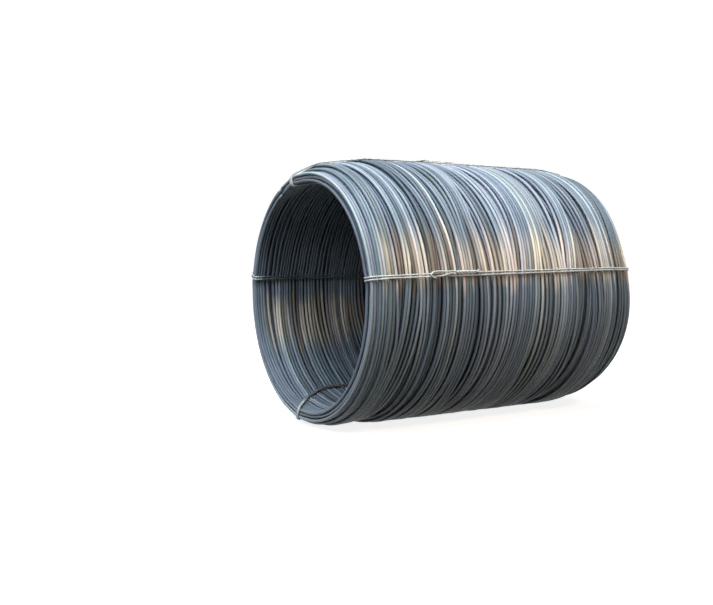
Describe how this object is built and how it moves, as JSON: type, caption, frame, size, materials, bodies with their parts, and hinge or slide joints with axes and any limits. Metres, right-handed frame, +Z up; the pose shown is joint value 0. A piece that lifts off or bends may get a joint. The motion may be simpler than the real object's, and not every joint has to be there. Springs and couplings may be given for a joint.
{
  "type": "steel wire coil",
  "caption": "Coil of thick steel wire, wound in loose turns round an open bore, lying on its side and bound with doubled wire ties that are twisted into knots.",
  "frame": {"origin": "on the coil's axis, halfway along its bore", "axes": "+Y along the coil's axis from the end that faces the picture to the far end, +Z up with the coil lying on its side, its lowest turns at z = -0.505 m"},
  "size_m": [1.024, 1.2626, 1.0224],
  "materials": {
    "coil_wire": "blue-grey steel with a dull sheen and faint tan and rust tints",
    "tie_wire": "pale plain steel wire, semi-gloss"
  },
  "bodies": {
    "root": {"wire_coil": "coil_wire", "tie_right": "tie_wire", "tie_top": "tie_wire", "tie_left": "tie_wire", "tie_bottom": "tie_wire"}
  },
  "joints": []
}
